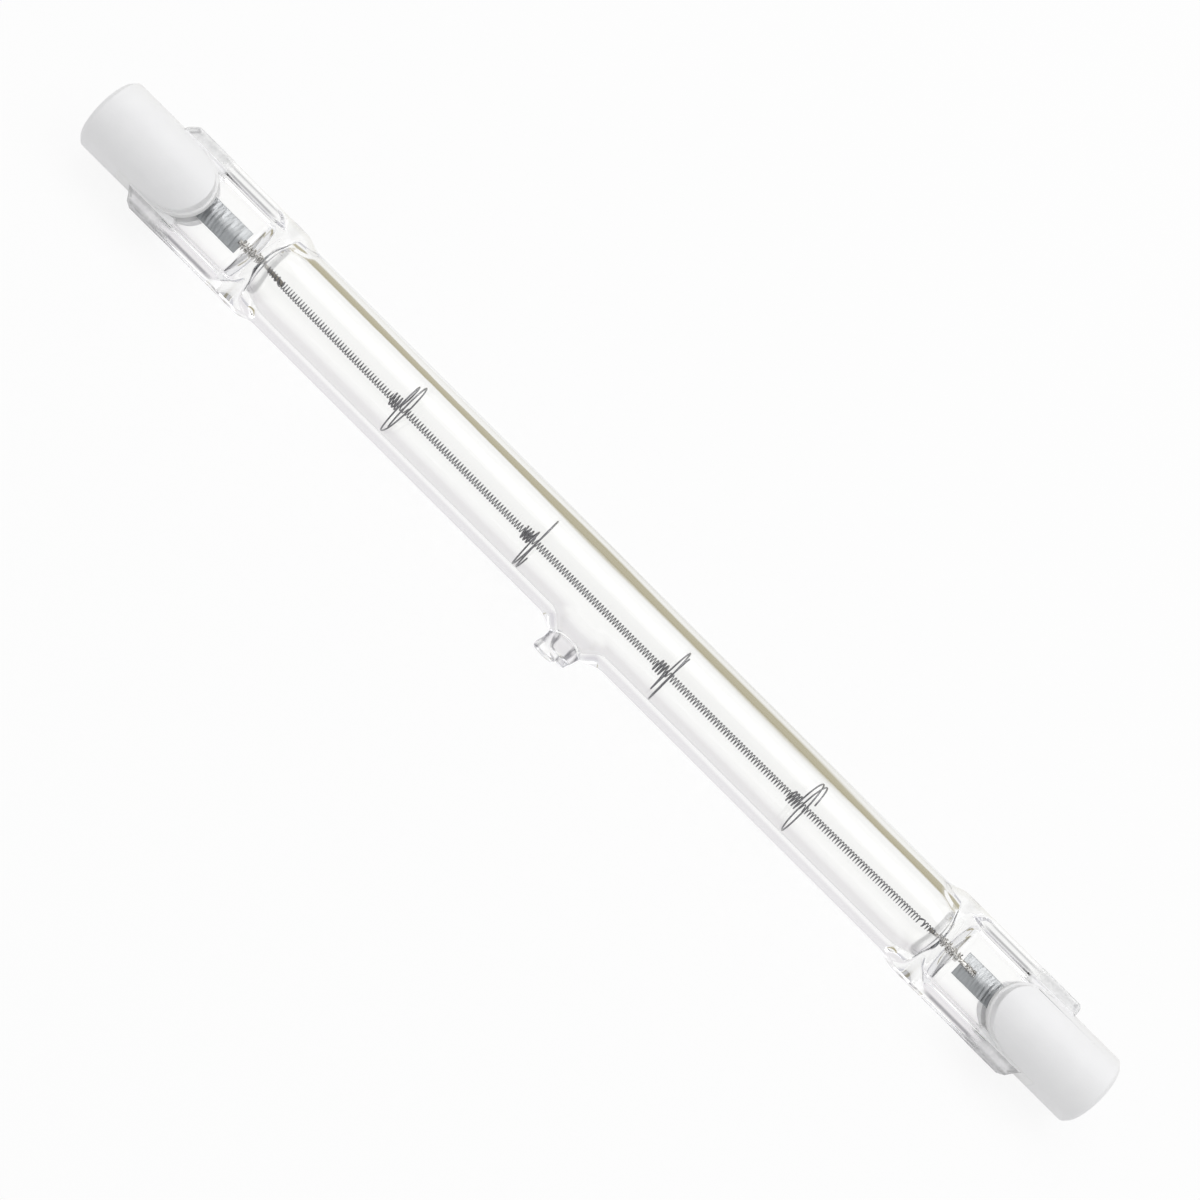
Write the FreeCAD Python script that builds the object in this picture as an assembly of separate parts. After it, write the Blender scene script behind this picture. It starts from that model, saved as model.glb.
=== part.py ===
import FreeCAD, Part
import math
import os

# Double-ended linear halogen lamp with a ceramic cap on each end.
# Millimetres. +X runs along the lamp, +Z is up, and the origin is on the glass tube's
# axis at mid-length. The lamp lies as it comes to rest, on its tube and its exhaust tip.
# Every piece is first made upright, with the flat faces of the press seals square to Z
# and the exhaust tip on the -Y side, and is then rolled about X into that rest.

V = FreeCAD.Vector
ORIGIN = V(0, 0, 0)
X_AXIS = V(1, 0, 0)

# Whole lamp. Places along X are worked out from its two ends inwards.
overall_length = 117.6

# Quartz envelope
tube_diameter = 8.1
wall = 1.0
end_taper = 0.5
end_taper_width = 1.6
flare_length = 2.0
flare_overlap = 0.2
flare_sink = 0.3
flare_spread = 0.2
shoulder_overlap = 0.5
shoulder_round = 1.4

# Press seals, an I-section with thick rims and a thin web
seal_width = 8.9
rim_thickness = 3.0
rim_width = 1.15
rim_slope = 0.35
web_thickness = 2.2
rim_bevel = 0.3
seal_end_gap = 1.2
tip_corner_slope = 1.4
left_tip_corner = 1.1
left_far_corner = 0.8
right_tip_corner = 1.0
right_far_corner = 0.25

# Exhaust tip, a fused knob on a swelling of the wall
tip_x = 0.5
swell_reach = 3.2
swell_sink = 1.0
swell_rise = 0.6
swell_top = 1.85
knob_radius = 1.8
knob_reach = 5.9
lobe_radius = 1.25
lobe_reach = 6.72
lobe_shift = -0.85
stub_radius = 0.8
stub_reach = 6.25
stub_shift = 0.95
lobe_bevel = 0.35

# Tungsten filament, one helix of round wire, drawn with few flat facets
coil_end_gap = 0.2
coil_radius = 0.31
wire_diameter = 0.12
pitch = 0.243
facets_per_turn = 2.8
coil_section_sides = 3
bow = 0.33

# Tungsten wire supports, a hub wound on the filament and a ring just inside the bore
support_count = 4
support_wire = 0.2
support_section_sides = 4
ring_gap = 0.35
hub_turns = 3
hub_pitch = 0.31
hub_clearance = 0.03
hub_facets = 5
arm_turns = 0.5
arm_advance = 0.35
arm_facets = 3
ring_turns = 1.2
ring_advance = 0.4
ring_facets = 13
first_ring_angle = 70
ring_angle_step = 100

# Leads and molybdenum foils sealed in the glass
inner_lead_clearance = 0.02
lead_in_coil = 1.6
lead_section_sides = 8
outer_lead_diameter = 0.7
foil_width = 2.4
foil_thickness = 0.04
foil_crease = 0.12
foil_flat = 0.5
foil_start_gap = 2.6
foil_end_gap = 2.4
foil_length = 7.8
weld_length = 1.8
weld_depth = 0.05

# Ceramic caps
cap_diameter = 7.2
cap_solid_length = 4.6
cheek_length = 7.2
cheek_nose_radius = 2.9
cheek_nose_angle = 75
cap_bevel = 0.4
slot_clearance = 0.15
recess_diameter = 4.2
recess_depth = 1.7

# Contact rivets, let into the floors of the recesses
contact_diameter = 3.2
contact_thickness = 0.3
contact_clearance = 0.05
stem_diameter = 1.7

# Cement that holds each cap on its seal
cement_lip = 0.2
cement_rise = 0.3
lead_channel = 1.2
lead_channel_gap = 0.1

# How far one piece of glass runs into the next where they are fused, how far a cutting
# shape stands past what it cuts, and how near two places are to be the same one
overlap = 0.02
past = 1.0
same_place = 0.001

tube_radius = tube_diameter / 2
bore_radius = tube_radius - wall
half_length = overall_length / 2
half_seal = seal_width / 2
half_rim = rim_thickness / 2
half_web = web_thickness / 2
cap_radius = cap_diameter / 2
slot_half = half_rim + slot_clearance

slot_bottom = half_length - cap_solid_length
cap_inner_end = slot_bottom - cheek_length
recess_floor = half_length - recess_depth
contact_seat = recess_floor - contact_thickness
seal_end = slot_bottom - seal_end_gap
foil_end = seal_end - foil_end_gap
foil_start = foil_end - foil_length
cavity_end = foil_start - foil_start_gap
bore_end = cavity_end - end_taper
shoulder_start = bore_end - shoulder_overlap
press_height = tube_radius + overlap
shoulder_hollow = press_height - half_rim - shoulder_round
shoulder_end = shoulder_start + shoulder_round + shoulder_hollow
flare_end = shoulder_start + flare_overlap
flare_start = flare_end - flare_length
coil_end = bore_end - coil_end_gap
lead_start = coil_end - lead_in_coil


# The drums that the exhaust tip ends in: shift along X, radius, reach from the axis and bevel
tip_drums = (
    (0, knob_radius, knob_reach, 0),
    (lobe_shift, lobe_radius, lobe_reach, lobe_bevel),
    (stub_shift, stub_radius, stub_reach, 0),
)


def touching_roll(distance, spread):
    """Roll that brings an edge of a drum down level with the underside of the tube."""
    return math.asin(tube_radius / math.hypot(distance, spread)) - math.atan2(spread, distance)


# The tip touches with whichever edge of its drums comes down first.
rest_roll = min(
    min(touching_roll(reach - bevel, radius), touching_roll(reach, radius - bevel))
    for shift, radius, reach, bevel in tip_drums)


def save(name, shape):
    """Rolls a finished piece into its rest about the tube's axis and writes it."""
    piece = shape.copy()
    piece.rotate(ORIGIN, X_AXIS, math.degrees(rest_roll))
    piece.exportStep("parts/" + name + ".step")


def mirrored(shape):
    return shape.mirror(ORIGIN, X_AXIS)


def save_pair(name, shape):
    """Writes the piece at the +X end and its mirror image at the -X end."""
    save(name + "_right", shape)
    save(name + "_left", mirrored(shape))


def rod(radius, start, end):
    """A round rod on the lamp's axis."""
    return Part.makeCylinder(radius, end - start, V(start, 0, 0), X_AXIS)


def block(x_range, y_range, z_range):
    low = V(x_range[0], y_range[0], z_range[0])
    return Part.makeBox(x_range[1] - x_range[0], y_range[1] - y_range[0], z_range[1] - z_range[0], low)


def polygon_face(corners):
    return Part.Face(Part.makePolygon(corners + corners[:1]))


def oval(centre, first, second):
    """An ellipse round a centre, with its two half axes as arms."""
    out = first.cross(second)
    place = FreeCAD.Matrix(
        first.x, second.x, out.x, centre.x,
        first.y, second.y, out.y, centre.y,
        first.z, second.z, out.z, centre.z,
        0, 0, 0, 1)
    return Part.Wire(Part.makeCircle(1).transformGeometry(place).Edges)


def end_edges(shape, axis, place):
    """The edges of a shape whose middle lies at a place along an axis."""
    return [edge for edge in shape.Edges if abs(edge.CenterOfMass.dot(axis) - place) < same_place]


def wire_section(diameter, sides, turn):
    """Corners of a regular polygon that has the area of a round wire, the first one at an angle."""
    area = math.pi * diameter ** 2 / 4
    reach = math.sqrt(2 * area / (sides * math.sin(2 * math.pi / sides)))
    angles = [turn + 2 * math.pi * k / sides for k in range(sides)]
    return [(reach * math.cos(angle), reach * math.sin(angle)) for angle in angles]


def straight_wire(diameter, start, end, height):
    """A wire along X with few flat sides."""
    section = wire_section(diameter, lead_section_sides, math.pi / lead_section_sides)
    corners = [V(start, y, height + z) for y, z in section]
    return polygon_face(corners).extrude(V(end - start, 0, 0))


# Quartz envelope

def flared_end():
    """The +X end of the tube before the press: drawn out of the round into a wider, lower oval."""
    start = V(flare_start, 0, 0)
    end = V(flare_end, 0, 0)
    tube_circle = oval(start, V(0, tube_radius, 0), V(0, 0, tube_radius))
    wide_oval = oval(end, V(0, half_seal + flare_spread, 0), V(0, 0, tube_radius - flare_sink))
    flare = Part.makeLoft([tube_circle, wide_oval], True, True)
    return flare.fuse(Part.Face(wide_oval).extrude(V(shoulder_end - flare_end, 0, 0)))


def press_outline():
    """Side view of the press jaws: level over the tube, round the shoulder, down to the rims."""
    bend = shoulder_start + shoulder_round
    bend_height = half_rim + shoulder_hollow
    slant = math.sqrt(0.5)
    shoulder_middle = V(
        shoulder_start + shoulder_round * slant, 0, press_height - shoulder_round * (1 - slant))
    hollow_middle = V(
        shoulder_end - shoulder_hollow * slant, 0, half_rim + shoulder_hollow * (1 - slant))
    start = flare_start - past
    edges = [
        Part.makeLine(V(start, 0, 0), V(start, 0, press_height)),
        Part.makeLine(V(start, 0, press_height), V(shoulder_start, 0, press_height)),
        Part.Arc(V(shoulder_start, 0, press_height), shoulder_middle, V(bend, 0, bend_height)).toShape(),
        Part.Arc(V(bend, 0, bend_height), hollow_middle, V(shoulder_end, 0, half_rim)).toShape(),
        Part.makeLine(V(shoulder_end, 0, half_rim), V(shoulder_end, 0, 0)),
        Part.makeLine(V(shoulder_end, 0, 0), V(start, 0, 0)),
    ]
    return Part.Face(Part.Wire(edges))


def pressed_end():
    """The +X end of the tube, pressed flat from both sides and trimmed to the width of the seal."""
    upper = press_outline().extrude(V(0, seal_width, 0))
    upper.translate(V(0, -half_seal, 0))
    press = upper.fuse(upper.mirror(ORIGIN, V(0, 0, 1)))
    return flared_end().common(press)


def seal(tip_corner, far_corner):
    """The +X press seal: its I-section carried out to the end, with the two outer corners cut off."""
    rim_inner = half_seal - rim_width
    web_outer = rim_inner - rim_slope
    start = shoulder_end - shoulder_hollow / 2
    upper = [
        (-half_seal, half_rim),
        (-rim_inner, half_rim),
        (-web_outer, half_web),
        (web_outer, half_web),
        (rim_inner, half_rim),
        (half_seal, half_rim),
    ]
    outline = upper + [(y, -z) for y, z in reversed(upper)]
    length = V(seal_end - start, 0, 0)
    bar = polygon_face([V(start, y, z) for y, z in outline]).extrude(length)
    sides = end_edges(bar, V(0, 1, 0), half_seal) + end_edges(bar, V(0, 1, 0), -half_seal)
    long_edges = [edge for edge in sides if edge.BoundBox.XLength > rim_bevel]
    bar = bar.makeChamfer(rim_bevel, long_edges)
    plan = [
        V(start, -half_seal, -half_seal),
        V(seal_end - tip_corner, -half_seal, -half_seal),
        V(seal_end, -half_seal + tip_corner_slope * tip_corner, -half_seal),
        V(seal_end, half_seal - far_corner, -half_seal),
        V(seal_end - far_corner, half_seal, -half_seal),
        V(start, half_seal, -half_seal),
    ]
    return bar.common(polygon_face(plan).extrude(V(0, 0, seal_width)))


def swelling():
    """The wall drawn out towards the tip: a flared cone between a long oval sunk in the tube and a round top."""
    low = V(tip_x, swell_sink - tube_radius, 0)
    top = V(tip_x, -tube_radius - swell_rise, 0)
    sunk_length = swell_top + (swell_reach - swell_top) * (1 + swell_sink / swell_rise)
    sunk_width = math.sqrt(tube_radius ** 2 - (tube_radius - swell_sink) ** 2) - overlap
    sunk_oval = oval(low, V(sunk_length, 0, 0), V(0, 0, sunk_width))
    round_top = oval(top, V(swell_top, 0, 0), V(0, 0, swell_top))
    return Part.makeLoft([sunk_oval, round_top], True, True)


def knob():
    """The fused end of the exhaust tube: a short drum with a long lobe and a small stub on it."""
    down = V(0, -1, 0)
    drums = []
    for shift, radius, reach, bevel in tip_drums:
        drum = Part.makeCylinder(radius, reach - tube_radius, V(tip_x + shift, -tube_radius, 0), down)
        if bevel:
            drum = drum.makeChamfer(bevel, end_edges(drum, down, reach))
        drums.append(drum)
    return drums[0].fuse(drums[1:])


def cavity():
    """The gas space: the bore with its tapered ends and a round funnel under the exhaust tip."""
    end_radius = bore_radius - end_taper_width
    outline = [
        V(-cavity_end, 0, 0),
        V(-cavity_end, end_radius, 0),
        V(-bore_end, bore_radius, 0),
        V(bore_end, bore_radius, 0),
        V(cavity_end, end_radius, 0),
        V(cavity_end, 0, 0),
    ]
    bore = polygon_face(outline).revolve(ORIGIN, X_AXIS, 360)
    mouth_radius = math.sqrt(bore_radius ** 2 - (bore_radius - swell_sink) ** 2) - overlap
    depth = swell_sink + swell_rise
    mouth = V(tip_x, swell_sink - bore_radius, 0)
    return bore.fuse(Part.makeCone(mouth_radius, swell_top - wall, depth, mouth, V(0, -1, 0)))


# Wound tungsten wire

def wound_wire(stations, section):
    """A closed solid of flat facets that carries a section along a wire wound about X.

    A station is (x, centre y, radius, angle). A section point is (outward, along X), in
    the plane through the axis at that station.
    """
    points = []
    for x, y, radius, angle in stations:
        for outward, along in section:
            reach = radius + outward
            points.append(V(x + along, y + reach * math.cos(angle), reach * math.sin(angle)))
    sides = len(section)
    last = len(points) - sides
    facets = []
    for first in range(0, last, sides):
        for k in range(sides):
            p = first + k
            q = first + (k + 1) % sides
            facets.append((p, q, q + sides))
            facets.append((p, q + sides, p + sides))
    for k in range(1, sides - 1):
        facets.append((0, k + 1, k))
        facets.append((last, last + k, last + k + 1))
    shell = Part.Shape()
    shell.makeShapeFromMesh((points, facets), overlap / 100)
    solid = Part.Solid(shell)
    if solid.Volume < 0:
        solid.reverse()
    return solid


def bow_at(x):
    """How far the hanging filament has bowed towards the tip side."""
    if abs(x) > lead_start:
        return 0
    return -bow * (1 - (x / lead_start) ** 2)


# The turns are many-sided, and their sides average the coil's radius. The wire's section
# has one corner outwards and the opposite side towards the axis.
turn_mitre = math.cos(math.pi / facets_per_turn)
corner_radius = coil_radius * 2 / (1 + turn_mitre)
coil_section = wire_section(wire_diameter, coil_section_sides, 0)
coil_inner_radius = (corner_radius + min(coil_section)[0]) * turn_mitre
coil_outer_radius = corner_radius + max(coil_section)[0]


def filament():
    """The single-coil tungsten filament, wound at one pitch from end to end."""
    steps = int(round(2 * coil_end / pitch * facets_per_turn))
    stations = []
    for i in range(steps + 1):
        x = -coil_end + 2 * coil_end * i / steps
        stations.append((x, bow_at(x), corner_radius, 2 * math.pi * i / facets_per_turn))
    return wound_wire(stations, coil_section)


def support(middle, ring_angle):
    """One wire support: hub turns on the filament, an arm that spirals out, and the ring."""
    section = wire_section(support_wire, support_section_sides, math.pi / support_section_sides)
    half_wire = max(section)[0]
    hub_radius = (coil_outer_radius + hub_clearance + half_wire) / math.cos(math.pi / hub_facets)
    ring_radius = bore_radius - ring_gap - half_wire
    length = hub_turns * hub_pitch + arm_advance + ring_turns * ring_advance
    y = bow_at(middle)
    x = middle - length / 2
    angle = ring_angle - 2 * math.pi * (hub_turns + arm_turns)
    stations = []
    for i in range(hub_turns * hub_facets):
        turn = i / hub_facets
        stations.append((x + turn * hub_pitch, y, hub_radius, angle + 2 * math.pi * turn))
    x += hub_turns * hub_pitch
    angle += 2 * math.pi * hub_turns
    for i in range(arm_facets):
        share = i / arm_facets
        radius = hub_radius + (ring_radius - hub_radius) * share
        stations.append((x + share * arm_advance, y, radius, angle + 2 * math.pi * arm_turns * share))
    x += arm_advance
    last = int(round(ring_turns * ring_facets))
    for i in range(last + 1):
        turn = ring_turns * i / last
        stations.append((x + turn * ring_advance, y, ring_radius, ring_angle + 2 * math.pi * turn))
    return wound_wire(stations, section)


# Leads and foils. Both leads lie on the foil's upper face with a flat welded to it.

inner_lead_radius = coil_inner_radius - inner_lead_clearance
outer_lead_radius = outer_lead_diameter / 2
foil_top = weld_depth - inner_lead_radius
outer_lead_height = foil_top - weld_depth + outer_lead_radius


def weld_cut(start, end):
    """What a lead loses where it is welded flat to its foil."""
    return block((start, end), (-foil_width, foil_width), (foil_top - outer_lead_diameter, foil_top))


def inner_lead():
    """The rod that fills the end of the filament and runs through the glass to the foil."""
    end = foil_start + weld_length
    whole = straight_wire(2 * inner_lead_radius, lead_start, end, 0)
    return whole.cut(weld_cut(foil_start, end + past))


def outer_lead():
    """The rod from the foil's outer end to the stem of the contact rivet."""
    start = foil_end - weld_length
    whole = straight_wire(outer_lead_diameter, start, slot_bottom, outer_lead_height)
    return whole.cut(weld_cut(start - past, foil_end))


def foil():
    """A molybdenum ribbon, creased along its middle."""
    half = foil_width / 2
    flat = foil_flat / 2
    low = foil_top - foil_crease
    upper = [(-half, low), (-flat, foil_top), (flat, foil_top), (half, low)]
    outline = upper + [(y, z - foil_thickness) for y, z in reversed(upper)]
    return polygon_face([V(foil_start, y, z) for y, z in outline]).extrude(V(foil_length, 0, 0))


# Ceramic caps, contacts and cement

def cheek_plan(spread, height):
    """Plan of a cheek: a round nose, straight flanks that leave it square to its radius, then full width."""
    radius = cheek_nose_radius + spread
    half_width = cap_radius + spread
    turn = math.radians(cheek_nose_angle)
    centre_x = cap_inner_end + cheek_nose_radius
    side_x = centre_x - radius * math.cos(turn)
    side_y = radius * math.sin(turn)
    full_x = side_x + (half_width - side_y) * math.tan(turn)
    back_x = half_length + past
    far = [V(side_x, side_y, -height), V(full_x, half_width, -height), V(back_x, half_width, -height)]
    near = [V(point.x, -point.y, -height) for point in reversed(far)]
    edges = [Part.Arc(near[-1], V(centre_x - radius, 0, -height), far[0]).toShape()]
    outline = far + near
    for start, end in zip(outline, outline[1:]):
        edges.append(Part.makeLine(start, end))
    return Part.Face(Part.Wire(edges)).extrude(V(0, 0, 2 * height))


def ceramic_cap():
    """A steatite cap: a round end with a recess, and two cheeks that clasp the flat seal."""
    body = rod(cap_radius, cap_inner_end, half_length)
    body = body.makeChamfer(cap_bevel, end_edges(body, X_AXIS, half_length))
    body = body.common(cheek_plan(0, cap_diameter))
    slot = block((cap_inner_end - past, slot_bottom), (-cap_diameter, cap_diameter), (-slot_half, slot_half))
    recess = rod(recess_diameter / 2, recess_floor, half_length + past)
    seat = rod(contact_diameter / 2 + contact_clearance, contact_seat, half_length)
    hole = rod(stem_diameter / 2 + contact_clearance, slot_bottom - past, half_length)
    return body.cut([slot, recess, seat, hole])


def contact():
    """A plated rivet: a round head flush with the recess floor and a stem through to the slot."""
    head = rod(contact_diameter / 2, contact_seat, recess_floor)
    return head.fuse(rod(stem_diameter / 2, slot_bottom, contact_seat))


def cement(cap, glass):
    """The white cement that fills the slot round the seal and stands as a lip round the cheeks."""
    round_fill = rod(cap_radius, cap_inner_end - past, slot_bottom)
    fill = cheek_plan(cement_lip, slot_half + cement_rise).common(round_fill)
    across = (-lead_channel / 2, lead_channel / 2)
    channel = block((seal_end - lead_channel_gap, slot_bottom + past), across, (-cap_radius, cap_radius))
    return fill.cut([cap, channel]).cut(glass)


os.makedirs("parts", exist_ok=True)

lead_in = inner_lead()
lead_out = outer_lead()
ribbon = foil()
save_pair("inner_lead", lead_in)
save_pair("outer_lead", lead_out)
save_pair("foil", ribbon)

shoulder = pressed_end()
right_end = shoulder.fuse(seal(right_tip_corner, right_far_corner))
left_end = mirrored(shoulder.fuse(seal(left_tip_corner, left_far_corner)))
glass = rod(tube_radius, -flare_start, flare_start).fuse([right_end, left_end, swelling(), knob()])
sealed_in = lead_in.fuse([lead_out, ribbon])
glass = glass.cut(cavity()).cut([sealed_in, mirrored(sealed_in)])
save("envelope", glass)

save("filament", filament())
spacing = 2 * bore_end / (support_count + 1)
for number in range(support_count):
    middle = spacing * (number - (support_count - 1) / 2)
    angle = math.radians(first_ring_angle + ring_angle_step * number)
    save("filament_support_" + str(number + 1), support(middle, angle))

cap = ceramic_cap()
save_pair("ceramic_cap", cap)
save_pair("contact", contact())
save("cap_cement_right", cement(cap, right_end))
save("cap_cement_left", mirrored(cement(cap, mirrored(left_end))))
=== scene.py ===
import bmesh
import bpy
import numpy as np
from mathutils import Matrix, Vector


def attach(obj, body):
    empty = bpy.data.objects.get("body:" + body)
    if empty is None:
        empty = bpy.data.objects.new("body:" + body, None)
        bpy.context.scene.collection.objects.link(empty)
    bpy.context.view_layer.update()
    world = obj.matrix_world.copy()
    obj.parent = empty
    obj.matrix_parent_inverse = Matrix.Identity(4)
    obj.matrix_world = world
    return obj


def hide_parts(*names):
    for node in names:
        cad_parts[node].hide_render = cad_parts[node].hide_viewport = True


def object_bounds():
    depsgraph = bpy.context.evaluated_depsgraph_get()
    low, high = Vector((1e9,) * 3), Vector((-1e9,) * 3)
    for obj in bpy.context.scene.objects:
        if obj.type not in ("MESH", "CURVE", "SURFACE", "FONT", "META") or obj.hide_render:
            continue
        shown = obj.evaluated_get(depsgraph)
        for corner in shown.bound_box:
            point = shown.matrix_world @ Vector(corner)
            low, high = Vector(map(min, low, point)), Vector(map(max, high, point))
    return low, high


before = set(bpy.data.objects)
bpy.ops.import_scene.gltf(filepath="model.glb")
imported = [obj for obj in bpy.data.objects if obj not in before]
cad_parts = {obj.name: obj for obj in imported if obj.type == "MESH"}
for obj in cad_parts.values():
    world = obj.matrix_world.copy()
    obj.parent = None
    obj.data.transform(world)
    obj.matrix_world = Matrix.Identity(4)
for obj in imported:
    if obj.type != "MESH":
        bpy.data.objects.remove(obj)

cad_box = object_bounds()

# Quartz envelope. One length of clear fused quartz tube, drawn out at its middle into the
# exhaust tip where it was sealed off, and pressed flat at both ends while soft, which left
# the seals with thick rims and a thin web. Sizes are in millimetres from the lamp's middle.
MM = 0.001
tube_radius = 4.05
bore_radius = 3.05
bore_end = 39.7
cavity_end = 40.2
cavity_dish = 0.8
seal_end = 53.0
half_seal = 4.42
half_rim = 1.5
half_web = 1.1
rim_inner = 3.3
web_outer = 2.95
rim_rounding = 0.4
end_rounding = 0.16
flare_span = (37.4, 39.4)
oval_half_width = 4.65
oval_half_height = 3.75
jaw_open = tube_radius + 0.02
jaw_softness = 0.5
shoulder_span = (38.5, 42.9)
web_ripple = 0.03
tip_x = 0.5
knob_reach = 5.9
knob_radius = 1.8
quartz_index = 1.458

# The lamp lies rolled about its axis, on the tube and on the edge of the tip's knob.
rest_roll = np.arcsin(tube_radius / np.hypot(knob_reach, knob_radius))
rest_roll = rest_roll - np.arctan2(knob_radius, knob_reach)


def laid(x, y, z):
    """Upright places in millimetres, rolled about X by the rest roll and turned to metres."""
    c, s = np.cos(rest_roll), np.sin(rest_roll)
    x, y, z = np.broadcast_arrays(x, y, z)
    return np.stack([x, y * c - z * s, y * s + z * c], axis=-1).reshape(-1, 3) * MM


def grid_faces(rows, columns, first=0, looped=False):
    """Quads between neighbouring rows of points, where each row closes on itself.

    In a looped grid the last row is also joined to the first.
    """
    r, c = np.meshgrid(np.arange(rows if looped else rows - 1), np.arange(columns), indexing="ij")
    r2, c2 = (r + 1) % rows, (c + 1) % columns
    corners = [r * columns + c, r * columns + c2, r2 * columns + c2, r2 * columns + c]
    return np.stack(corners, axis=-1).reshape(-1, 4) + first


def piece(name, points, faces, replaces=()):
    """A smooth-shaded mesh of the given points and faces, as a piece of the lamp."""
    mesh = bpy.data.meshes.new(name)
    mesh.from_pydata(points.tolist(), [], faces)
    mesh.shade_smooth()
    made = bpy.data.objects.new(name, mesh)
    bpy.context.scene.collection.objects.link(made)
    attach(made, "root")
    if replaces:
        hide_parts(*replaces)
    return made


def note(made, name, values):
    """Keeps one number for each point of a piece, for the piece's material to read."""
    kept = made.data.attributes.new(name, "FLOAT", "POINT")
    kept.data.foreach_set("value", np.ravel(values))


def ease(x, span):
    """Runs smoothly from 0 at the start of the span to 1 at its end."""
    t = np.clip((x - span[0]) / (span[1] - span[0]), 0, 1)
    return t * t * (3 - 2 * t)


def folded(angle):
    """An angle round the tube, folded to a quarter: 0 at the seal's side, 90 over the web."""
    return np.degrees(np.arcsin(np.abs(np.sin(np.radians(angle)))))


def jaw_height(x):
    """Height of the press jaws over the seal's middle plane.

    It eases from just over the tube's top down to the rim's top, along the shoulder.
    """
    return jaw_open - (jaw_open - half_rim) * ease(x, shoulder_span)


# Each quarter of a ring has its points shared out over the seal's side, its rounded corner,
# the flat top of its rim, the slope down and the web, which end at these angles.
side_end, corner_end, rim_end, slope_end, web_end = 14, 24, 38, 45, 90


def seal_section(angle):
    """A quarter of the seal's I-section, from mid-side at 0 to mid-web at 90 degrees.

    The side is straight, the corner a quarter circle, the rim's top and the web are flat,
    and between them the height eases down.
    """
    turn = np.radians(np.clip((angle - side_end) / (corner_end - side_end), 0, 1) * 90)
    corner_y = half_seal - rim_rounding * (1 - np.cos(turn))
    corner_z = half_rim - rim_rounding * (1 - np.sin(turn))
    top_y = np.interp(
        angle, [corner_end, rim_end, slope_end, web_end],
        [half_seal - rim_rounding, rim_inner, web_outer, 0])
    y = np.where(angle < corner_end, corner_y, top_y)
    side_z = (half_rim - rim_rounding) * angle / side_end
    top_z = half_rim - (half_rim - half_web) * ease(angle, (rim_end, slope_end))
    z = np.where(angle < side_end, side_z, np.where(angle < corner_end, corner_z, top_z))
    return y, z


# The tip: a hill, as its height and the span of distance over which it falls, and the
# drums on it, each as its centre along the tube, half length, half depth and reach.
outer_hill = (0.8, (1.0, 3.9))
outer_drums = ((0.4, 1.63, 1.8, 5.85), (-0.2, 1.03, 1.3, 6.69), (1.27, 0.5, 0.75, 6.3))
inner_hill = (1.35, (0.9, 3.2))
inner_drums = ((0.4, 0.8, 0.8, 5.75),)
drum_wall = (0.88, 1.12)
crown_drop = 0.14
lean = 0.34
lean_heights = (5.3, 6.3)


def drawn_out(x, y, z, radius, hill, drums):
    """The wall drawn out towards the tip, on the side where y is below zero.

    A round hill falls smoothly over its span of distance from the tip, measured along
    the wall. On it stand oval drums with domed ends. Past the hill, points lean towards
    -X, which bulges the end.
    """
    height, span = hill
    base = np.sqrt(np.maximum(radius ** 2 - z ** 2, 0))
    s = np.hypot(x - tip_x, radius * np.arcsin(np.clip(z / radius, -1, 1)))
    out = base + height * (1 - ease(s, span))
    for centre, half_length, half_depth, reach in drums:
        d = np.hypot((x - centre) / half_length, z / half_depth)
        crown = reach - crown_drop * np.minimum(d, 1) ** 4
        out = np.where(crown > out, out + (crown - out) * (1 - ease(d, drum_wall)), out)
    leant = lean * ease(out, lean_heights) * np.clip((0.8 - x) / 2, 0, 1)
    below = y < 0
    return np.where(below, x - leant, x), np.where(below, -out, y)


columns = 180


def around_tube():
    """Angles round the tube, at even steps of the running sum of a density.

    The density is a level with a bell added at the tip, at the slopes beside the web and
    at the seal's corners, so that points lie closer there.
    """
    a = np.linspace(0, 360, 3601)
    fold = folded(a)
    density = np.full(a.shape, 0.9)
    for away, width, height in ((a - 180, 30, 3), (fold - 41.5, 5, 4), (fold - 20, 6, 1.5)):
        density += height * np.exp(-(away / width) ** 2)
    total = np.concatenate([[0], np.cumsum((density[1:] + density[:-1]) / 2)])
    return np.interp(np.linspace(0, total[-1], columns, endpoint=False), total, a)


# The outer corners of the seals' ends are broken off: by the signs of X and of Y, how far
# along the seal a corner is cut and how deep. The cut draws in what lies past cut_inner.
corner_cuts = {
    (-1, -1): (1.1, 1.5), (-1, 1): (0.8, 0.8),
    (1, -1): (1.0, 1.4), (1, 1): (0.25, 0.25)}
cut_inner = 2.0


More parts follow.
